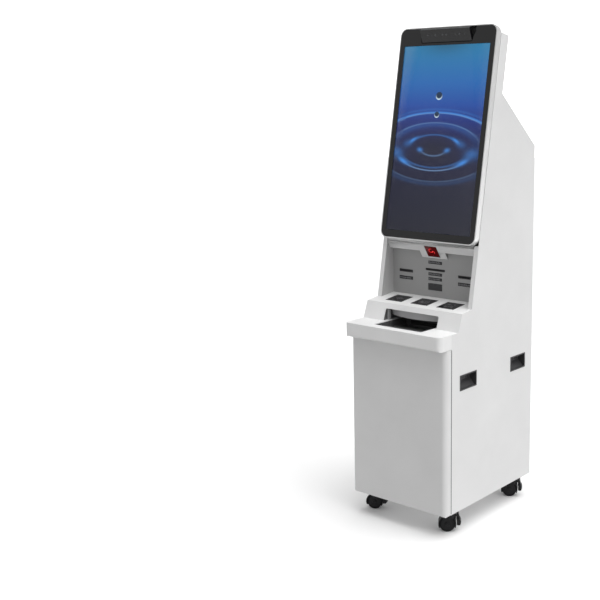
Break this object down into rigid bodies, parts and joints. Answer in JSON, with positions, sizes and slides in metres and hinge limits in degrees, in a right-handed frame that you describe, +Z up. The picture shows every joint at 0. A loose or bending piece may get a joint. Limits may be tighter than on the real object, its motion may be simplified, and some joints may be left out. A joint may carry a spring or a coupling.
{
  "type": "atm machine",
  "caption": "Free-standing narrow self-service cash terminal on casters: leaning portrait touchscreen, recessed slot fascia, reader shelf, cash tray, hinged doors and tilting camera bar.",
  "frame": {"origin": "on the floor under the wheels, midway across the cabinet and midway between the ledge's front and the rear face", "axes": "+Z up, the user stands on the -Y side, +X to the user's right"},
  "size_m": [0.456, 0.619, 1.8793],
  "materials": {
    "white_powder_coat": "fine-textured satin powder coat, off-white",
    "door_powder_coat": "fine-textured satin powder coat, off-white",
    "fascia_powder_coat": "matte powder coat, mid grey",
    "white_moulding": "smooth satin moulded plastic, white",
    "display_trim": "satin silver-white paint on the display's rim",
    "zinc_steel": "zinc plated, lightly mottled",
    "black_plastic": "matte black moulding",
    "handle_plastic": "matte dark grey moulding with a slight sheen",
    "tray_plastic": "matte charcoal moulding",
    "guard_plastic": "satin mid grey plastic",
    "window_plastic": "dark smoked gloss plastic",
    "scanner_filter": "deep red gloss filter",
    "display_glass": "gloss glass, black printed border",
    "lens_glass": "gloss dark lens",
    "screen": "lit screen with a blue water picture",
    "module_casing": "matte dark grey module casing",
    "cassette_plastic": "matte grey-blue moulding",
    "paper": "white thermal paper",
    "caster_steel": "black painted steel",
    "caster_nylon": "matte black nylon",
    "caster_tread": "black nylon wheel, slightly worn tread"
  },
  "bodies": {
    "cabinet": {"base_plate": "white_powder_coat", "inner_frame": "zinc_steel", "left_side_panel": "white_powder_coat", "right_side_panel": "white_powder_coat", "upper_rear_cover": "white_powder_coat", "side_cheeks": "white_powder_coat", "header_beam": "white_powder_coat", "scanner_window": "scanner_filter", "fascia_panel": "fascia_powder_coat", "note_slot_bezel": "black_plastic", "receipt_slot_bezel": "black_plastic", "card_slot_bezel": "black_plastic", "indicator_windows": "window_plastic", "console_cover": "white_moulding", "tap_reader_window": "window_plastic", "id_reader_window": "window_plastic", "code_reader_window": "window_plastic", "reader_modules": "module_casing", "tray_liner": "tray_plastic", "tray_guard": "guard_plastic", "display_frame": "display_trim", "display_glass": "display_glass", "lcd_panel": "screen", "display_backplate": "zinc_steel", "handle_cups": "handle_plastic", "side_lock_barrel": "zinc_steel", "caster_plates": "caster_steel", "caster_bolts": "zinc_steel", "note_acceptor": "module_casing", "cash_dispenser": "module_casing", "cassette_rack": "zinc_steel", "cash_cassettes": "cassette_plastic", "receipt_printer": "module_casing", "card_reader": "module_casing", "main_computer": "module_casing", "power_supply": "module_casing", "power_inlet": "black_plastic", "exhaust_fan": "black_plastic", "door_pivot_pins": "zinc_steel"},
    "front_door": {"front_door": "door_powder_coat"},
    "side_lock_plug": {"side_lock_plug": "zinc_steel"},
    "rear_door": {"rear_door": "white_powder_coat"},
    "rear_lock": {"rear_lock": "zinc_steel"},
    "camera_bar": {"camera_bar": "black_plastic", "camera_lenses": "lens_glass"},
    "paper_roll": {"paper_roll": "paper"},
    "fan_impeller": {"fan_impeller": "black_plastic"},
    "power_switch": {"power_switch": "black_plastic"},
    "fork_fl": {"caster_fork_fl": "caster_nylon"},
    "wheels_fl": {"wheels_fl": "caster_tread"},
    "pedal_fl": {"brake_pedal_fl": "caster_nylon"},
    "fork_fr": {"caster_fork_fr": "caster_nylon"},
    "wheels_fr": {"wheels_fr": "caster_tread"},
    "pedal_fr": {"brake_pedal_fr": "caster_nylon"},
    "fork_rl": {"caster_fork_rl": "caster_nylon"},
    "wheels_rl": {"wheels_rl": "caster_tread"},
    "pedal_rl": {"brake_pedal_rl": "caster_nylon"},
    "fork_rr": {"caster_fork_rr": "caster_nylon"},
    "wheels_rr": {"wheels_rr": "caster_tread"},
    "pedal_rr": {"brake_pedal_rr": "caster_nylon"}
  },
  "joints": [
    {"name": "front_door_hinge", "type": "hinge", "parent": "cabinet", "child": "front_door", "pos_m": [0.2165, -0.2605, 0.407], "axis": [0, 0, 1], "range_deg": [0, 110]},
    {"name": "side_lock_turn", "type": "hinge", "parent": "cabinet", "child": "side_lock_plug", "pos_m": [-0.214, -0.2135, 0.426], "axis": [1, 0, 0], "range_deg": [0, 90]},
    {"name": "rear_door_hinge", "type": "hinge", "parent": "cabinet", "child": "rear_door", "pos_m": [0.217, 0.3055, 0.809], "axis": [0, 0, -1], "range_deg": [0, 110]},
    {"name": "rear_lock_turn", "type": "hinge", "parent": "rear_door", "child": "rear_lock", "pos_m": [-0.19, 0.2985, 0.8], "axis": [0, 1, 0], "range_deg": [0, 90]},
    {"name": "camera_bar_tilt", "type": "hinge", "parent": "cabinet", "child": "camera_bar", "pos_m": [0, 0.04069, 1.82486], "axis": [-1, 0, 0], "range_deg": [0, 30]},
    {"name": "paper_roll_spin", "type": "hinge", "parent": "cabinet", "child": "paper_roll", "pos_m": [-0.142, 0.0785, 0.95], "axis": [1, 0, 0], "continuous": true},
    {"name": "fan_spin", "type": "hinge", "parent": "cabinet", "child": "fan_impeller", "pos_m": [0, 0.18086, 1.52118], "axis": [0, 0.6421, 0.7666], "continuous": true},
    {"name": "power_switch_rock", "type": "hinge", "parent": "cabinet", "child": "power_switch", "pos_m": [-0.099, 0.3005, 0.126], "axis": [-1, 0, 0], "range_deg": [0, 12]},
    {"name": "swivel_fl", "type": "hinge", "parent": "cabinet", "child": "fork_fl", "pos_m": [-0.178, -0.1765, 0.078], "axis": [0, 0, 1], "continuous": true},
    {"name": "wheel_roll_fl", "type": "hinge", "parent": "fork_fl", "child": "wheels_fl", "pos_m": [-0.18913, -0.18099, 0.03], "axis": [0.3746, -0.9272, 0], "continuous": true},
    {"name": "brake_lift_fl", "type": "hinge", "parent": "fork_fl", "child": "pedal_fl", "pos_m": [-0.15297, -0.16639, 0.066], "axis": [0.3746, -0.9272, 0], "range_deg": [0, 25]},
    {"name": "swivel_fr", "type": "hinge", "parent": "cabinet", "child": "fork_fr", "pos_m": [0.178, -0.1765, 0.078], "axis": [0, 0, 1], "continuous": true},
    {"name": "wheel_roll_fr", "type": "hinge", "parent": "fork_fr", "child": "wheels_fr", "pos_m": [0.16842, -0.18372, 0.03], "axis": [0.6018, -0.7986, 0], "continuous": true},
    {"name": "brake_lift_fr", "type": "hinge", "parent": "fork_fr", "child": "pedal_fr", "pos_m": [0.19956, -0.16025, 0.066], "axis": [0.6018, -0.7986, 0], "range_deg": [0, 25]},
    {"name": "swivel_rl", "type": "hinge", "parent": "cabinet", "child": "fork_rl", "pos_m": [-0.178, 0.2565, 0.078], "axis": [0, 0, 1], "continuous": true},
    {"name": "wheel_roll_rl", "type": "hinge", "parent": "fork_rl", "child": "wheels_rl", "pos_m": [-0.18928, 0.2524, 0.03], "axis": [0.342, -0.9397, 0], "continuous": true},
    {"name": "brake_lift_rl", "type": "hinge", "parent": "fork_rl", "child": "pedal_rl", "pos_m": [-0.15263, 0.26573, 0.066], "axis": [0.342, -0.9397, 0], "range_deg": [0, 25]},
    {"name": "swivel_rr", "type": "hinge", "parent": "cabinet", "child": "fork_rr", "pos_m": [0.178, 0.2565, 0.078], "axis": [0, 0, 1], "continuous": true},
    {"name": "wheel_roll_rr", "type": "hinge", "parent": "fork_rr", "child": "wheels_rr", "pos_m": [0.16761, 0.2505, 0.03], "axis": [0.5, -0.866, 0], "continuous": true},
    {"name": "brake_lift_rr", "type": "hinge", "parent": "fork_rr", "child": "pedal_rr", "pos_m": [0.20138, 0.27, 0.066], "axis": [0.5, -0.866, 0], "range_deg": [0, 25]}
  ]
}
